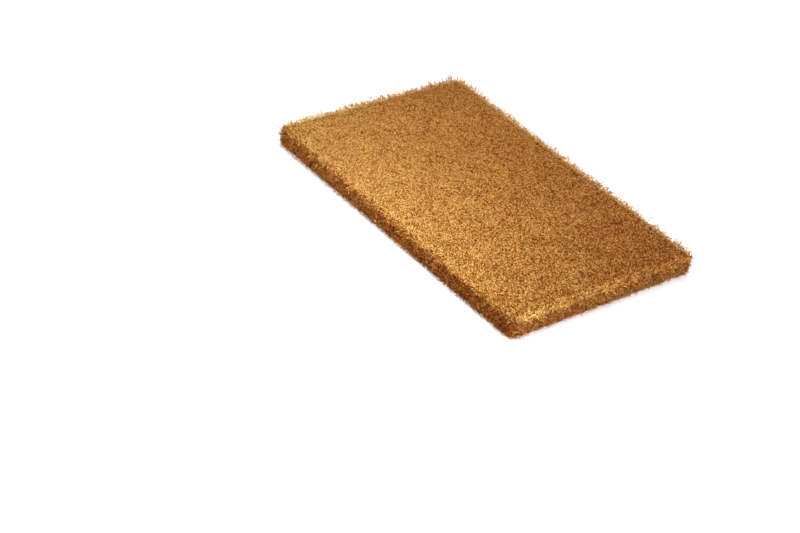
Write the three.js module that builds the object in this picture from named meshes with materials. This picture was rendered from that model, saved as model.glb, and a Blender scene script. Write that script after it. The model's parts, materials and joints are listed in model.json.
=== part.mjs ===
// Floor polishing pad: one rectangular slab of crimped, resin-bonded fibre, die-cut from a lofty web.
// Both faces are alike, so the pad can be turned over. Sizes are in millimetres and +Z is up. The
// length lies along X, and the origin is at the middle of the underside.
import * as THREE from "three";
import { mergeVertices } from "three/addons/utils/BufferGeometryUtils.js";

const { clamp, smoothstep } = THREE.MathUtils;

// The slab
const LENGTH = 229;
const WIDTH = 152;
const THICKNESS = 13;
const CORNER_RADIUS = 6; // the die's corners, seen from above
const ARRIS_RADIUS = 4; // where a face rolls over into the cut side

// The matted web: crimped bundles of fibre cross in several directions, with hollows left between them
const BUNDLE_DIRECTIONS = 5;
const BUNDLE_PITCH = 24; // from one bundle to the next in the same direction
const BUNDLE_CREST = 0.7; // share of a bundle's swell that stands, the rest being pressed flat
const CRIMP_LENGTH = 37; // one wave of a bundle along its run
const CRIMP_SWAY = 4; // how far a wave takes the bundle sideways
const LAYER_RATIO = 2; // the web is laid in flat layers, so bundles lie closer together through it
const FACE_HOLLOW = 0.8; // deepest hollow in a face
const SIDE_HOLLOW = 1.0; // deepest hollow in the cut side

// Facets
const FACE_CELL = 5.5;
const SIDE_CELL = 2.8;

const FIBRE_COLOUR = 0xb57c3f;
const FULL_TURN = 2 * Math.PI;
const GOLDEN_TURN = FULL_TURN * 0.381966; // spreads the bundle directions evenly

// A roll-over can't take up more than half of the thickness
const arris = Math.min(ARRIS_RADIUS, 0.48 * THICKNESS);

// Grid lines from -half to half: the given insets at each end, and even cells between them
function gridLines(half, insets, cell) {
  const inner = half - insets.at(-1);
  const cells = Math.max(1, Math.round((2 * inner) / cell));
  const lines = insets.map((inset) => inset - half);
  for (let i = 1; i < cells; i++) lines.push((2 * inner * i) / cells - inner);
  return lines.concat(insets.map((inset) => half - inset).reverse());
}

// How deep the web sinks between its bundles, from 0 on a bundle to 1 in the deepest hollow
function hollow(u, v) {
  let swell = -1;
  for (let k = 0; k < BUNDLE_DIRECTIONS; k++) {
    const heading = k * GOLDEN_TURN;
    const along = u * Math.cos(heading) + v * Math.sin(heading);
    const sway = CRIMP_SWAY * Math.sin((FULL_TURN * along) / CRIMP_LENGTH + k);
    const across = v * Math.cos(heading) - u * Math.sin(heading) + sway;
    swell = Math.max(swell, Math.cos((FULL_TURN * across) / BUNDLE_PITCH + k));
  }
  return clamp((BUNDLE_CREST - swell) / BUNDLE_CREST, 0, 1);
}

// The turn of the surface from level on a face to upright on the side, reached by an even roll-over
function rollTurn(toEdge, toFace) {
  const faceShare = clamp(1 - toEdge / arris, 0, 1);
  const sideShare = clamp(toFace / arris, 0, 1);
  return ((faceShare + sideShare) * Math.PI) / 4;
}

// A point of the rounded outline drawn inwards by an inset, and the direction out of the pad there.
// The point x, y is on a square-cornered ring of the grid, toEdge in from the pad's edge.
function outlinePoint(x, y, toEdge, inset) {
  const radius = CORNER_RADIUS - toEdge;
  const alongX = LENGTH / 2 - Math.abs(x) - toEdge; // from the ring's corner, 0 on an end
  const alongY = WIDTH / 2 - Math.abs(y) - toEdge; // from the ring's corner, 0 on a long side
  const point = new THREE.Vector2(Math.abs(x), Math.abs(y));
  const outward = new THREE.Vector2();
  if (Math.max(alongX, alongY) < radius) {
    const swing = (Math.PI / 4) * (1 + (alongX - alongY) / radius);
    outward.set(Math.cos(swing), Math.sin(swing));
    point.set(LENGTH / 2 - CORNER_RADIUS, WIDTH / 2 - CORNER_RADIUS);
    point.addScaledVector(outward, CORNER_RADIUS - inset);
  } else if (alongX < alongY) {
    outward.set(1, 0);
    point.x = LENGTH / 2 - inset;
  } else {
    outward.set(0, 1);
    point.y = WIDTH / 2 - inset;
  }
  const quarter = new THREE.Vector2(Math.sign(x) || 1, Math.sign(y) || 1);
  return { point: point.multiply(quarter), outward: outward.multiply(quarter) };
}

// Where a point of the square-edged grid goes on the pad: rounded first, then sunk into the hollows
function padPoint(x, y, z) {
  const toEdge = Math.min(LENGTH / 2 - Math.abs(x), WIDTH / 2 - Math.abs(y));
  const toFace = THICKNESS / 2 - Math.abs(z);
  const turn = rollTurn(toEdge, toFace);
  const inset = Math.max(toEdge, arris) - arris * Math.sin(turn);
  const drop = Math.max(toFace, arris) - arris * Math.cos(turn);
  const { point, outward } = outlinePoint(x, y, toEdge, inset);

  const onFace = smoothstep(toEdge, arris, arris + FACE_CELL);
  const onSide = smoothstep(toFace, 0, arris + SIDE_CELL);
  const faceSink = onFace && onFace * FACE_HOLLOW * hollow(point.x, point.y);
  const sideSink = onSide && onSide * SIDE_HOLLOW * hollow(point.x + point.y, LAYER_RATIO * z);
  point.addScaledVector(outward, -sideSink);
  return new THREE.Vector3(point.x, point.y, Math.sign(z) * (THICKNESS / 2 - drop - faceSink));
}

function padGeometry() {
  const rollInsets = [0, arris / 2, arris];
  const planInsets = [...new Set([...rollInsets, CORNER_RADIUS])].sort((a, b) => a - b);
  const xLines = gridLines(LENGTH / 2, planInsets, FACE_CELL);
  const yLines = gridLines(WIDTH / 2, planInsets, FACE_CELL);
  const zLines = gridLines(THICKNESS / 2, rollInsets, SIDE_CELL);
  const counts = [xLines, yLines, zLines].map((lines) => lines.length - 1);

  // A box of unit cells, so that a corner of a cell is a whole number of cells from the box's corner
  const box = new THREE.BoxGeometry(...counts, ...counts);
  box.deleteAttribute("normal");
  box.deleteAttribute("uv");
  const geometry = mergeVertices(box.translate(...counts.map((count) => count / 2)));
  const { position } = geometry.attributes;
  for (let i = 0; i < position.count; i++) {
    const x = xLines[Math.round(position.getX(i))];
    const y = yLines[Math.round(position.getY(i))];
    const z = zLines[Math.round(position.getZ(i))];
    position.setXYZ(i, ...padPoint(x, y, z));
  }
  geometry.computeVertexNormals();
  return geometry;
}

const fibre = new THREE.MeshStandardMaterial({ color: FIBRE_COLOUR, roughness: 0.95, metalness: 0 });
const pad = new THREE.Mesh(padGeometry(), fibre);
pad.name = "fibre_pad";
pad.position.z = THICKNESS / 2;

const model = new THREE.Group();
model.add(pad);

export default model;
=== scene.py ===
import json
import math
import random

import bpy
from mathutils import Euler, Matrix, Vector

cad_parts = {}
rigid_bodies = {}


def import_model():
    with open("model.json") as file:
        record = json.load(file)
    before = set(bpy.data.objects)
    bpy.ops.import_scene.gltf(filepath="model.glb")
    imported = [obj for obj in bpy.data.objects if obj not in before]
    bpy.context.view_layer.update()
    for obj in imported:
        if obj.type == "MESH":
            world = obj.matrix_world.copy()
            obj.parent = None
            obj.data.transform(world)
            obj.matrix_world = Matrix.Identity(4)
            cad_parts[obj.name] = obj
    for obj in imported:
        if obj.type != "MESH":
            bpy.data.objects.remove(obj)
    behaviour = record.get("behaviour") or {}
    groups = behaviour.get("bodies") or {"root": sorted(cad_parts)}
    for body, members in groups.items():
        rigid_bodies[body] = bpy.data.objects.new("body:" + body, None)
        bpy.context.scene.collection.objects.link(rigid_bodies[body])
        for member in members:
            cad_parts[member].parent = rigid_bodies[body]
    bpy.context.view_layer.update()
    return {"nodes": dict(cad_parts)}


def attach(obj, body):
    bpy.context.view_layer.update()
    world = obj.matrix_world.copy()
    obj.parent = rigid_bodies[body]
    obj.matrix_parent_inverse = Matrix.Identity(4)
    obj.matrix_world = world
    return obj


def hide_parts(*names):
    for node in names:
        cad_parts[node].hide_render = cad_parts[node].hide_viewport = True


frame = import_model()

# All sizes are in metres, in the frame of the solid pad: length along X, width along Y, floor at z = 0
scene = bpy.context.scene
scene.view_settings.view_transform = "Standard"
solidPad = frame["nodes"]["fibre_pad"]
halfLength, halfWidth = (max(corner.co[axis] for corner in solidPad.data.vertices) for axis in (0, 1))
mergeReach = 1e-6  # corners of the solid's loose triangles that are this close become one
mid = 0.5  # middle of the scale of tones, and of a texture's values


class Wire:
    # One socket of a node tree. Arithmetic on it adds Math nodes.
    def __init__(self, tree, socket=None):
        self.tree = tree
        self.socket = socket

    def node(self, kind, settings=None, inputs=None, output=None):
        made = self.tree.nodes.new(kind)
        for key, value in (settings or {}).items():
            if key == "stops":  # of a colour ramp
                while len(made.color_ramp.elements) < len(value):
                    made.color_ramp.elements.new(1)
                for element, (place, colour) in zip(made.color_ramp.elements, value):
                    element.position, element.color = place, (*colour, 1)
            else:
                setattr(made, key, value)
        for key, value in (inputs or {}).items():
            usable = [s for s in made.inputs if s.enabled and s.name == key]
            target = made.inputs[key] if isinstance(key, int) else usable[0]
            if isinstance(value, Wire):
                self.tree.links.new(value.socket, target)
            else:
                target.default_value = value
        return Wire(self.tree, made.outputs[0]).out(output) if made.outputs else made

    def out(self, name=None):
        sockets = [s for s in self.socket.node.outputs if s.enabled and name in (None, s.name)]
        return Wire(self.tree, sockets[0])

    def math(self, operation, *values):
        return self.node("ShaderNodeMath", {"operation": operation}, dict(enumerate(values)))

    def vector(self, operation, *values, **inputs):
        inputs.update(enumerate(values))
        return self.node("ShaderNodeVectorMath", {"operation": operation}, inputs)

    def axis(self, name):
        return self.node("ShaderNodeSeparateXYZ", {}, {0: self}, name)

    def along(self, direction):
        return self.vector("DOT_PRODUCT", self, direction).out("Value")

    def ease(self, start, end, first=0.0, last=1.0):
        # Goes from first to last, gently at both ends, as the socket goes from start to end
        return self.node("ShaderNodeMapRange", {"interpolation_type": "SMOOTHSTEP"}, {
            "Value": self, "From Min": start, "From Max": end, "To Min": first, "To Max": last})

    def blend(self, first, second):
        # The socket is the share of the second colour
        return self.node("ShaderNodeMix", {"data_type": "RGBA"}, {
            "Factor": self, "A": first, "B": second}, "Result")

    def __add__(self, other):
        return self.math("ADD", self, other)

    def __sub__(self, other):
        return self.math("SUBTRACT", self, other)

    def __rsub__(self, other):
        return self.math("SUBTRACT", other, self)

    def __mul__(self, other):
        return self.math("MULTIPLY", self, other)

    def __truediv__(self, other):
        return self.math("DIVIDE", self, other)

    __radd__ = __add__
    __rmul__ = __mul__


def only(obj):
    bpy.ops.object.select_all(action="DESELECT")
    obj.select_set(True)
    bpy.context.view_layer.objects.active = obj


def addModifier(obj, kind, **settings):
    modifier = obj.modifiers.new(kind.lower(), kind)
    for key, value in settings.items():
        setattr(modifier, key, value)
    only(obj)
    bpy.ops.object.modifier_apply(modifier=modifier.name)


def copyOfPad(name):
    copy = bpy.data.objects.new(name, solidPad.data.copy())
    scene.collection.objects.link(copy)
    only(copy)
    bpy.ops.object.mode_set(mode="EDIT")
    bpy.ops.mesh.select_all(action="SELECT")
    bpy.ops.mesh.remove_doubles(threshold=mergeReach)
    bpy.ops.object.mode_set(mode="OBJECT")
    return copy


def triangles(piece):
    return sum(len(face.vertices) - 2 for face in piece.data.polygons)


def newMaterial(name):
    material = bpy.data.materials.new(name)
    material.use_nodes = True
    material.node_tree.nodes.clear()
    return material, Wire(material.node_tree)


def dress(piece, material):
    piece.data.materials.clear()
    piece.data.materials.append(material)
    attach(piece, "root")


# The bonded fibre, golden where a strand is clean and brown where resin lies thick on it.
# More of the deeper, redder fibre is mixed in as painted shade, on the sides and towards +Y
fibreLook = {
    "tones": [
        (0.00, (0.115, 0.030, 0.002)),
        (0.25, (0.430, 0.153, 0.013)),
        (0.55, (0.750, 0.393, 0.056)),
        (0.85, (0.900, 0.650, 0.162)),
        (1.00, (0.940, 0.765, 0.285)),
    ],
    "deepAndShadedTones": [  # deeper fibre, which the cut sides lay bare, partly painted shade: the sides redder and darker
        (0.00, (0.120, 0.024, 0.003)),
        (0.30, (0.440, 0.115, 0.016)),
        (0.65, (0.740, 0.275, 0.052)),
        (1.00, (0.900, 0.510, 0.150)),
    ],
    "deepAndShadedFacing": (0.82, 0.50),  # upward lean of the surface where the deeper fibre and its painted side shade begin, and are all
    "toneShare": 0.70,  # how much of the shade belongs to the strand as a whole
    "mottleScale": 95,  # cloudy patches about 10 mm across
    "mottleDetail": 3,
    "mottleShare": 0.36,
    "beadScale": 1800,  # beads of resin along a strand, about 0.55 mm long
    "beadShare": 1.95,
    "roughness": (0.40, 0.62),
    "gloss": 0.02,  # a thin, dusty resin film
    "paintedShadeDrift": (-2.25, -0.30, 0.0),  # tone per metre: painted shade, darker towards the +X, +Y corner
    "paintedSideShade": (0.50, 0.58, 0.0),  # painted light and shade: the sides towards +X and +Y are paler than the other two
    "paintedSideBacklight": (-0.40, 1.00, 0.0),  # painted light: those towards -X and +Y more golden, as fibre lit through from behind
    "brown": 0.75,  # share of the deeper fibre in the middle of the pad
    "paintedShadeBrownDrift": (-1.0, 5.8, 0.0),  # growth of that share per metre: painted shade, browner towards +Y and -X
}


def mottledShade(coords, tone):
    # The strand's own tone, clouded by patches of thicker resin and by small beads of it,
    # and darkened towards one corner by painted shade
    mottle = coords.node("ShaderNodeTexNoise", {}, {
        "Vector": coords, "Scale": fibreLook["mottleScale"], "Detail": fibreLook["mottleDetail"]})
    beads = coords.node("ShaderNodeTexVoronoi", {}, {
        "Vector": coords, "Scale": fibreLook["beadScale"]}, "Color")
    bead = coords.node("ShaderNodeSeparateColor", {}, {"Color": beads}, "Red")
    shade = mid + coords.along(fibreLook["paintedShadeDrift"]) + (tone - mid) * fibreLook["toneShare"]
    clouded = shade + (mottle - mid) * (2 * fibreLook["mottleShare"])
    return clouded + (bead - mid) * fibreLook["beadShare"], bead


def ramp(shade, tones):
    return shade.node("ShaderNodeValToRGB", {"stops": fibreLook[tones]}, {"Fac": shade}, "Color")


def fibreMaterial():
    material, wire = newMaterial("looseFibre")
    coords = wire.node("ShaderNodeTexCoord", output="Object")
    tone = wire.node("ShaderNodeAttribute", {"attribute_name": "fibreTone"}, output="Fac")
    cut = wire.node("ShaderNodeAttribute", {"attribute_name": "cutShare"}, output="Fac")
    shade, bead = mottledShade(coords, tone)
    # painted shade: more of the deeper, redder fibre on the sides and towards +Y
    brown = cut + fibreLook["brown"] + coords.along(fibreLook["paintedShadeBrownDrift"])
    smooth, rough = fibreLook["roughness"]
    shader = wire.node("ShaderNodeBsdfPrincipled", {}, {
        "Base Color": brown.blend(ramp(shade, "tones"), ramp(shade, "deepAndShadedTones")),
        "Roughness": smooth + (rough - smooth) * bead,
        "Specular IOR Level": fibreLook["gloss"]})
    wire.node("ShaderNodeOutputMaterial", {}, {"Surface": shader})
    return material


# The web under the loose strands: two nets of fibre, one over the other, with pits painted dark as shade
webLook = {
    "paintedPitShade": (0.045, 0.013, 0.003),
    "nets": [
        {"scale": 1250, "width": 0.22, "tone": 0.40},  # strands about 0.8 mm apart
        {"scale": 900, "width": 0.16, "tone": 0.60},  # and about 1.1 mm apart
    ],
    "warpScale": 600,
    "warp": 0.0016,
    "bump": 0.0004,
    "roughness": 0.7,
}


def webMaterial():
    material, wire = newMaterial("deepWeb")
    coords = wire.node("ShaderNodeTexCoord", output="Object")
    waver = wire.node("ShaderNodeTexNoise", {}, {"Vector": coords, "Scale": webLook["warpScale"]}, "Color")
    warped = wire.vector("MULTIPLY_ADD", waver, (webLook["warp"],) * 3, coords)
    # painted shade: the pits start dark, and the first net, which lies under the second, gets the darker
    # tone
    colour, height = (*webLook["paintedPitShade"], 1), 0.0
    for net in webLook["nets"]:
        edge = wire.node("ShaderNodeTexVoronoi", {"feature": "DISTANCE_TO_EDGE"}, {
            "Vector": warped, "Scale": net["scale"]}, "Distance")
        strand = edge.ease(0.0, net["width"], 1.0, 0.0)
        shade = mottledShade(coords, strand * net["tone"])[0]
        colour = strand.blend(colour, ramp(shade, "deepAndShadedTones"))
        height = strand + height
    relief = wire.node("ShaderNodeBump", {}, {"Distance": webLook["bump"], "Height": height})
    shader = wire.node("ShaderNodeBsdfPrincipled", {}, {
        "Base Color": colour, "Roughness": webLook["roughness"], "Normal": relief,
        "Specular IOR Level": fibreLook["gloss"]})
    wire.node("ShaderNodeOutputMaterial", {}, {"Surface": shader})
    return material


# The web itself: the solid pad drawn in a little, and lumpy
webBody = {
    "voxel": 0.0014,
    "sink": 0.0003,
    "lumpSize": 0.0026,
    "lumpHeight": 0.0012,
    "lumpLevel": 0.75,  # value of the lumps that stays in place, so most of them are dents
}


def makeWeb():
    web = copyOfPad("fibreWeb")
    lumps = bpy.data.textures.new("webLumps", "CLOUDS")
    lumps.noise_scale = webBody["lumpSize"]
    addModifier(web, "REMESH", mode="VOXEL", voxel_size=webBody["voxel"], use_smooth_shade=True)
    addModifier(web, "DISPLACE", strength=-webBody["sink"], mid_level=0.0)
    addModifier(web, "DISPLACE", strength=webBody["lumpHeight"], mid_level=webBody["lumpLevel"],
                texture=lumps, texture_coords="LOCAL")
    dress(web, webMaterial())
    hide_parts("fibre_pad")
    print("web:", triangles(web), "triangles")


# Five sorts of strand, each a few thin three-sided tubes that are extruded step by step and drawn out to
# a point at both ends. Curls and flecks rise out of the web and dive back into it. Tufts, strays and wisps
# stand on their root. turn is the bend from step to step and rise the climb of the first one, in degrees.
sorts = {
    "curl": {"count": 12, "radius": 0.00014, "steps": 3, "step": (0.0006, 0.0009), "turn": 70, "rise": 28,
             "rooted": False, "seed": 5},
    "fleck": {"count": 14, "radius": 0.00013, "steps": 2, "step": (0.0006, 0.0010), "turn": 60, "rise": 20,
              "rooted": False, "seed": 9},
    "tuft": {"count": 12, "radius": 0.00013, "steps": 2, "step": (0.0005, 0.0008), "turn": 45, "rise": 0,
             "rooted": True, "seed": 6},
    "stray": {"count": 10, "radius": 0.00010, "steps": 3, "step": (0.0007, 0.0013), "turn": 50, "rise": 0,
              "rooted": True, "seed": 7},
    "wisp": {"count": 10, "radius": 0.00008, "steps": 4, "step": (0.0005, 0.0009), "turn": 65, "rise": 0,
             "rooted": True, "seed": 8},
}
sides = 3  # of a tube
uneven = {"turn": 0.6, "climb": 0.4}  # how far single steps stray from an even bend and climb
bakeMap = {"name": "OFBake", "cells": 180, "margin": 0.1}  # rows of cells, one cell for each strand


def drawTube(sort, dice):
    bpy.ops.object.mode_set(mode="EDIT")
    bpy.ops.mesh.select_mode(type="VERT")
    bpy.ops.mesh.select_all(action="SELECT")
    steps, curl = sort["steps"], dice.uniform(-1, 1)
    turns = [math.radians(sort["turn"]) * (curl + dice.uniform(-uneven["turn"], uneven["turn"]))
             for _ in range(steps)]
    heading, place = 0.0, Vector()
    for step in range(steps):
        slope = 1 - 2 * step / (steps - 1) + dice.uniform(-uneven["climb"], uneven["climb"])
        stride = Vector((dice.uniform(*sort["step"]), 0, 0))
        stride.rotate(Euler((0, -math.radians(sort["rise"]) * slope, heading)))
        place = place + stride
        heading += turns[step]
        bpy.ops.mesh.extrude_region_move(TRANSFORM_OT_translate={"value": stride})
        halfTurn = (turns[step] + turns[step - 1] * (step > 0)) / 2  # the ring halves the bend
        bpy.ops.transform.rotate(value=-halfTurn, orient_axis="Z", center_override=place)
    bpy.ops.object.mode_set(mode="OBJECT")


def drawTip(strand, ring):
    bpy.ops.object.mode_set(mode="EDIT")
    bpy.ops.mesh.select_all(action="DESELECT")
    bpy.ops.object.mode_set(mode="OBJECT")
    for corner in range(sides):
        strand.data.vertices[ring * sides + corner].select = True
    bpy.ops.object.mode_set(mode="EDIT")
    bpy.ops.mesh.merge(type="COLLAPSE")
    bpy.ops.object.mode_set(mode="OBJECT")


def makeStrand(name, sort, dice):
    bpy.ops.object.select_all(action="DESELECT")
    bpy.ops.mesh.primitive_circle_add(vertices=sides, radius=sort["radius"], fill_type="NOTHING",
                                      rotation=(0, math.pi / 2, 0))
    strand = bpy.context.active_object
    strand.name = name
    bpy.ops.object.transform_apply(location=True, rotation=True, scale=True)
    drawTube(sort, dice)

    # The bake's map of a strand is one strip, along it from left to right
    steps = sort["steps"]
    strip = strand.data.uv_layers.new(name=bakeMap["name"])
    for loop in strand.data.loops:
        ring, corner = divmod(loop.vertex_index, sides)
        strip.uv[loop.index].vector = (ring / steps, corner / (sides - 1))

    drawTip(strand, steps)
    drawTip(strand, 0)
    bpy.ops.object.mode_set(mode="EDIT")
    bpy.ops.mesh.select_all(action="SELECT")
    bpy.ops.mesh.normals_make_consistent(inside=False)
    bpy.ops.object.mode_set(mode="OBJECT")
    if not sort["rooted"]:
        bpy.ops.object.origin_set(type="ORIGIN_GEOMETRY", center="BOUNDS")
        strand.location = (0, 0, 0)
    bpy.ops.object.shade_smooth()
    return strand


def makeKit(sortName):
    sort = sorts[sortName]
    dice = random.Random(sort["seed"])
    kit = bpy.data.collections.new(sortName + "Kit")
    scene.collection.children.link(kit)
    for index in range(sort["count"]):
        strand = makeStrand(f"{sortName}{index}", sort, dice)
        for home in list(strand.users_collection):
            home.objects.unlink(strand)
        kit.objects.link(strand)
    return kit


def clearKit(kit):
    for strand in list(kit.objects):
        bpy.data.objects.remove(strand)
    bpy.data.collections.remove(kit)


# Where the strands lie. facing is the range of the surface's upward lean, from -1 below to 1 above, and
# depth that of the roots along its normal. stand is the angle between a strand and the surface, and tone
# goes from 0, dark, to 1, pale. rim keeps a layer within that reach of the pad's edge, and gold takes away
# that share of the deeper fibre, painted light that makes the rim fibre look lit through from behind.
layers = {
    # painted shade: the low curls lie deeper and get darker tones than the flecks and tufts above
    "topCurlsLow": {"sort": "curl", "facing": (0.3, 1.1), "perSquare": 440000, "depth": (-0.0011, -0.0004),
                    "stand": (-8, 8), "size": (0.9, 1.25), "tone": (0.0, 0.7), "seed": 11},
    "topCurlsHigh": {"sort": "fleck", "facing": (0.3, 1.1), "perSquare": 900000, "depth": (-0.0006, 0.0),
                     "stand": (-12, 12), "size": (0.8, 1.15), "tone": (0.2, 1.0), "seed": 12},
    "topTufts": {"sort": "tuft", "facing": (0.2, 1.1), "perSquare": 800000, "depth": (-0.0008, -0.0001),
                 "stand": (10, 65), "size": (0.7, 1.3), "tone": (0.1, 1.0), "seed": 16},
    "undersideCurls": {"sort": "curl", "facing": (-1.1, -0.7), "perSquare": 160000, "depth": (-0.0009, 0.0),
                       "stand": (-8, 8), "size": (0.9, 1.3), "tone": (0.0, 1.0), "seed": 13},
    "sideCurls": {"sort": "curl", "facing": (-0.85, 0.6), "perSquare": 1050000, "depth": (-0.0009, 0.0001),
                  "stand": (-20, 20), "size": (0.8, 1.15), "tone": (-0.1, 1.1), "seed": 14},
    # painted light: the rim's strays and tufts get pale, golden tones, as fibre lit through from behind
    "edgeStrays": {"sort": "stray", "facing": (0.75, 0.985), "perSquare": 1200000,
                   "depth": (-0.0008, -0.0001), "stand": (20, 85), "size": (0.6, 2.1), "tone": (0.4, 1.35),
                   "paintedRimBacklight": 0.15, "rim": 0.0058, "seed": 15},
    "sideStrays": {"sort": "stray", "facing": (-0.95, 0.25), "perSquare": 600000,
                   "depth": (-0.0008, -0.0001), "stand": (10, 75), "size": (0.6, 1.3), "tone": (0.0, 1.1),
                   "seed": 17},
    "edgeTufts": {"sort": "tuft", "facing": (0.60, 0.98), "perSquare": 3000000, "depth": (-0.0006, 0.0),
                  "stand": (20, 80), "size": (0.8, 1.4), "tone": (0.9, 1.5), "paintedRimBacklight": 0.35, "rim": 0.0058,
                  "seed": 18},
    # partly painted shade: the rim's wisps get dark tones, as hairs seen against the light
    "edgeWisps": {"sort": "wisp", "facing": (0.25, 0.90), "perSquare": 950000, "depth": (-0.0008, -0.0001),
                  "stand": (25, 85), "size": (0.7, 2.8), "tone": (-1.0, 0.70), "rim": 0.0058, "seed": 19},
}
crimp = {"scale": 300, "detail": 0, "sway": 0.0012}  # the last random bend of every strand
press = {"from": 0.0008, "to": 0.0001}  # strands lower than this are pressed together above the floor


def drawNumber(wire, low, high, seed, kind="FLOAT"):
    return wire.node("FunctionNodeRandomValue", {"data_type": kind}, {"Min": low, "Max": high, "Seed": seed})


def store(geometry, name, value, kind="FLOAT", domain="INSTANCE"):
    return geometry.node("GeometryNodeStoreNamedAttribute", {"data_type": kind, "domain": domain}, {
        "Geometry": geometry, "Name": name, "Value": value})


def recall(wire, name):
    return wire.node("GeometryNodeInputNamedAttribute", {"data_type": "FLOAT_VECTOR"}, {"Name": name})


def move(geometry, **inputs):
    return geometry.node("GeometryNodeSetPosition", {}, {"Geometry": geometry, **inputs})


def rootPoints(pad, layer, seed):
    # Points on the faces that this layer covers
    up = pad.node("GeometryNodeInputNormal").axis("Z")
    low, high = layer["facing"]
    chosen = pad.math("GREATER_THAN", up, low) * pad.math("LESS_THAN", up, high)
    if "rim" in layer:
        spot = pad.node("GeometryNodeInputPosition").axis("X")
        toEnd = halfLength - pad.math("ABSOLUTE", spot)
        toSide = halfWidth - pad.math("ABSOLUTE", spot.out("Y"))
        chosen = chosen * pad.math("LESS_THAN", pad.math("MINIMUM", toEnd, toSide), layer["rim"])
    return pad.node("GeometryNodeDistributePointsOnFaces", {}, {
        "Mesh": pad, "Selection": chosen, "Density": layer["perSquare"], "Seed": seed}, "Points")


def layStrands(points, layer, kit, seed):
    # A strand on each point, at any heading along the face. A rooted one is also spun about itself.
    depth = drawNumber(points, *layer["depth"], seed + 1)
    placed = move(points, Offset=points.vector("SCALE", points.out("Normal"), Scale=depth))
    spun = sorts[layer["sort"]]["rooted"]
    lowStand, highStand = (math.radians(angle) for angle in layer["stand"])
    turn = points.node("ShaderNodeCombineXYZ", {}, {
        "X": drawNumber(points, -math.pi, math.pi, seed + 2) if spun else 0.0,
        "Y": drawNumber(points, -highStand, -lowStand, seed + 3),
        "Z": drawNumber(points, 0.0, 2 * math.pi, seed + 4)})
    heading = points.node("FunctionNodeRotateRotation", {"rotation_space": "LOCAL"}, {
        "Rotation": points.out("Rotation"),
        "Rotate By": points.node("FunctionNodeEulerToRotation", {}, {"Euler": turn})})
    strands = points.node("GeometryNodeCollectionInfo", {}, {
        "Collection": kit, "Separate Children": True, "Reset Children": True})
    return points.node("GeometryNodeInstanceOnPoints", {}, {
        "Points": placed, "Instance": strands, "Pick Instance": True,
        "Instance Index": drawNumber(points, 0, len(kit.objects) - 1, seed + 5, "INT"),
        "Rotation": heading, "Scale": drawNumber(points, *layer["size"], seed + 6)})


def toneStrands(laid, normal, layer, seed):
    # Each strand has a tone and a share of the deeper fibre of its own, both with painted light and shade
    # by the way its surface faces
    tone = drawNumber(laid, *layer["tone"], seed + 7) + normal.along(fibreLook["paintedSideShade"])
    begin, whole = fibreLook["deepAndShadedFacing"]
    # partly painted shade: the leaning arris and the sides take the redder, darker deeper fibre
    cut = normal.axis("Z").ease(whole, begin, 1.0, 0.0)
    share = cut - normal.along(fibreLook["paintedSideBacklight"]) - layer.get("paintedRimBacklight", 0.0)
    return store(store(laid, "fibreTone", tone), "cutShare", share)


def mapStrands(toned):
    # Each strand has a cell of its own in the bake's map
    cells, margin = bakeMap["cells"], bakeMap["margin"]
    index = toned.node("GeometryNodeInputIndex")
    row = toned.math("FLOOR", index / cells)
    cell = toned.node("ShaderNodeCombineXYZ", {}, {"X": index - row * cells, "Y": row})
    celled = store(toned, "mapCell", cell, "FLOAT_VECTOR")
    real = toned.node("GeometryNodeRealizeInstances", {}, {"Geometry": celled})
    width = 1 - 2 * margin
    inCell = toned.vector("MULTIPLY_ADD", recall(toned, bakeMap["name"]), (width, width, 0.0),
                          (margin, margin, 0.0))
    spot = toned.vector("SCALE", toned.vector("ADD", inCell, recall(toned, "mapCell")), Scale=1 / cells)
    mapped = store(real, bakeMap["name"], spot, "FLOAT2", "CORNER")
    return toned.node("GeometryNodeRemoveAttribute", {}, {"Geometry": mapped, "Name": "mapCell"})


def bendStrands(strands):
    noise = strands.node("ShaderNodeTexNoise", {}, {
        "Scale": crimp["scale"], "Detail": crimp["detail"]}, "Color")
    swing = strands.vector("SUBTRACT", noise, (mid, mid, mid))
    return move(strands, Offset=strands.vector("SCALE", swing, Scale=crimp["sway"]))


def pressStrands(strands):
    # The pad's own weight presses the lowest strands flat
    place = strands.node("GeometryNodeInputPosition").axis("X")
    room = press["from"] - press["to"]
    under = strands.math("MINIMUM", place.out("Z") - press["from"], 0.0)
    drop = room * (1 - strands.math("EXPONENT", under / room))
    height = strands.math("MAXIMUM", place.out("Z"), press["from"]) - drop
    return move(strands, Position=strands.node("ShaderNodeCombineXYZ", {}, {
        "X": place, "Y": place.out("Y"), "Z": height}))


def scatterTree(name, layer, kit):
    tree = bpy.data.node_groups.new(name, "GeometryNodeTree")
    tree.interface.new_socket("Geometry", in_out="INPUT", socket_type="NodeSocketGeometry")
    tree.interface.new_socket("Geometry", in_out="OUTPUT", socket_type="NodeSocketGeometry")
    wire = Wire(tree)
    seed = 10 * layer["seed"]  # room for the seeds of a layer's other draws
    points = rootPoints(wire.node("NodeGroupInput"), layer, seed)
    laid = layStrands(points, layer, kit, seed)
    toned = toneStrands(laid, points.out("Normal"), layer, seed)
    pressed = pressStrands(bendStrands(mapStrands(toned)))
    wire.node("NodeGroupOutput", {}, {"Geometry": pressed})
    return tree


def makeStrands():
    looseFibre = fibreMaterial()
    kits = {sortName: makeKit(sortName) for sortName in sorts}
    for name, layer in layers.items():
        piece = copyOfPad(name)
        addModifier(piece, "NODES", node_group=scatterTree(name, layer, kits[layer["sort"]]))
        dress(piece, looseFibre)
        print(name + ":", triangles(piece), "triangles")
    for kit in kits.values():
        clearKit(kit)


# The view of the photograph
lookFrom = {
    "azimuth": -45.75,
    "elevation": 34.70,
    "roll": 11.80,
    "distance": 1.1730,
    "aim": (0.0335, -0.0936, 0.0065),
    "lens": 90.0,
    "sensor": 36.0,
}


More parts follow.
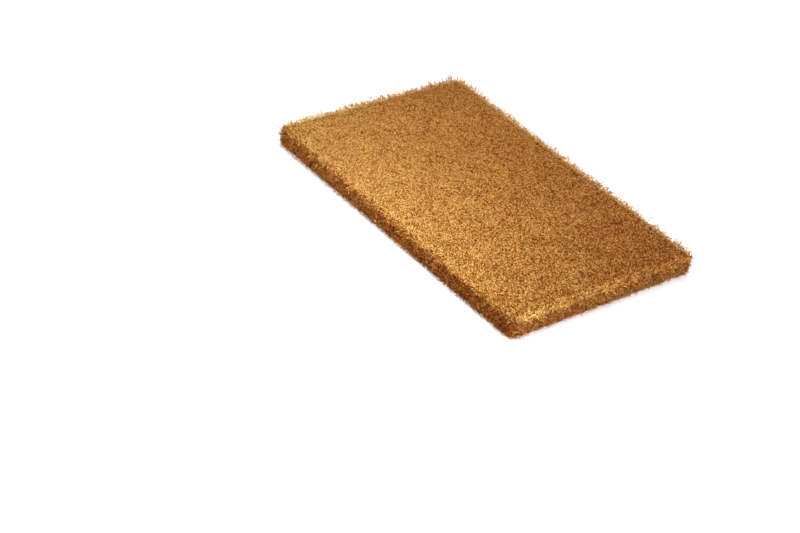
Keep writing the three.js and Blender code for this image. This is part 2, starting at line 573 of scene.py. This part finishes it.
def makeCamera():
    azimuth, elevation = math.radians(lookFrom["azimuth"]), math.radians(lookFrom["elevation"])
    away = Vector((math.cos(elevation) * math.cos(azimuth), math.cos(elevation) * math.sin(azimuth),
                   math.sin(elevation)))
    bpy.ops.object.camera_add(location=Vector(lookFrom["aim"]) + away * lookFrom["distance"])
    camera = bpy.context.active_object
    roll = Euler((0, 0, math.radians(lookFrom["roll"]))).to_quaternion()
    camera.rotation_euler = (away.to_track_quat("Z", "Y") @ roll).to_euler()
    camera.data.lens = lookFrom["lens"]
    camera.data.sensor_width = lookFrom["sensor"]
    scene.camera = camera
    print("camera is set")


# A large soft box overhead, a small one over the front edge, one low at the right-hand end and a warm
# fill in front, on a plain floor that looks white and keeps the pad's shadow
studio = {
    "floorSize": 8.0,
    "floorSeen": (0.78, 0.78, 0.79),  # its colour as seen
    "floorGiven": (0.25, 0.24, 0.23),  # and in the light that it throws back on the pad
    "floorLift": 0.56,  # glow that makes the seen floor white
    "floorFade": (0.3, 0.8),  # from the middle to where the floor starts to turn white, and is white
    "sky": 0.02,  # strength of its light on the pad
    "lamps": [
        {"name": "overheadBox", "place": (-0.60, 0.50, 1.60), "aim": (0, 0, 0), "size": (1.0, 1.0),
         "colour": (1, 1, 1), "power": 30.2},
        {"name": "frontBox", "place": (0.04, -0.092, 0.12), "aim": (0.04, -0.070, 0), "size": (0.20, 0.06),
         "colour": (1, 1, 1), "power": 0.355},
        {"name": "sideBox", "place": (0.70, -0.10, 0.20), "aim": (0.1, 0, 0), "size": (0.4, 0.4),
         "colour": (1, 0.93, 0.92), "power": 5.1},
        {"name": "lowFill", "place": (-0.15, -0.90, 0.25), "aim": (0, -0.076, 0), "size": (0.5, 0.3),
         "colour": (1, 0.78, 0.60), "power": 5.1},
    ],
}


def seenRay(wire):
    # 1 for the rays that show the floor or sky itself, straight on, mirrored or through glass
    path = wire.node("ShaderNodeLightPath", output="Is Camera Ray")
    return wire.math("MAXIMUM", wire.math("MAXIMUM", path, path.out("Is Glossy Ray")),
                     path.out("Is Transmission Ray"))


def makeFloor():
    bpy.ops.object.select_all(action="DESELECT")
    bpy.ops.mesh.primitive_plane_add(size=studio["floorSize"])
    floor = bpy.context.active_object
    floor.name = "floor"
    material, wire = newMaterial("paleFloor")
    seen = seenRay(wire)
    colour = seen.blend((*studio["floorGiven"], 1), (*studio["floorSeen"], 1))
    diffuse = wire.node("ShaderNodeBsdfDiffuse", {}, {"Color": colour})
    glow = wire.node("ShaderNodeEmission", {}, {"Strength": seen * studio["floorLift"]})
    both = wire.node("ShaderNodeAddShader", {}, {0: diffuse, 1: glow})
    coords = wire.node("ShaderNodeTexCoord", output="Object")
    fade = wire.vector("LENGTH", coords).out("Value").ease(*studio["floorFade"])
    white = wire.node("ShaderNodeEmission")
    faded = wire.node("ShaderNodeMixShader", {}, {0: seen * fade, 1: both, 2: white})
    wire.node("ShaderNodeOutputMaterial", {}, {"Surface": faded})
    floor.data.materials.append(material)


def makeSky():
    world = bpy.data.worlds.new("studioWorld")
    world.use_nodes = True
    world.node_tree.nodes.clear()
    scene.world = world
    wire = Wire(world.node_tree)
    strength = studio["sky"] + (1 - studio["sky"]) * seenRay(wire)
    sky = wire.node("ShaderNodeBackground", {}, {"Color": (1, 1, 1, 1), "Strength": strength})
    wire.node("ShaderNodeOutputWorld", {}, {"Surface": sky})


def makeLamps():
    for lamp in studio["lamps"]:
        place = Vector(lamp["place"])
        bpy.ops.object.light_add(type="AREA", location=place)
        light = bpy.context.active_object
        light.name = lamp["name"]
        light.rotation_euler = (place - Vector(lamp["aim"])).to_track_quat("Z", "Y").to_euler()
        light.data.shape = "RECTANGLE"
        light.data.size, light.data.size_y = lamp["size"]
        light.data.color = lamp["colour"]
        light.data.energy = lamp["power"]
    print("studio:", len(studio["lamps"]), "lamps")


makeWeb()
makeStrands()
makeCamera()
makeFloor()
makeSky()
makeLamps()
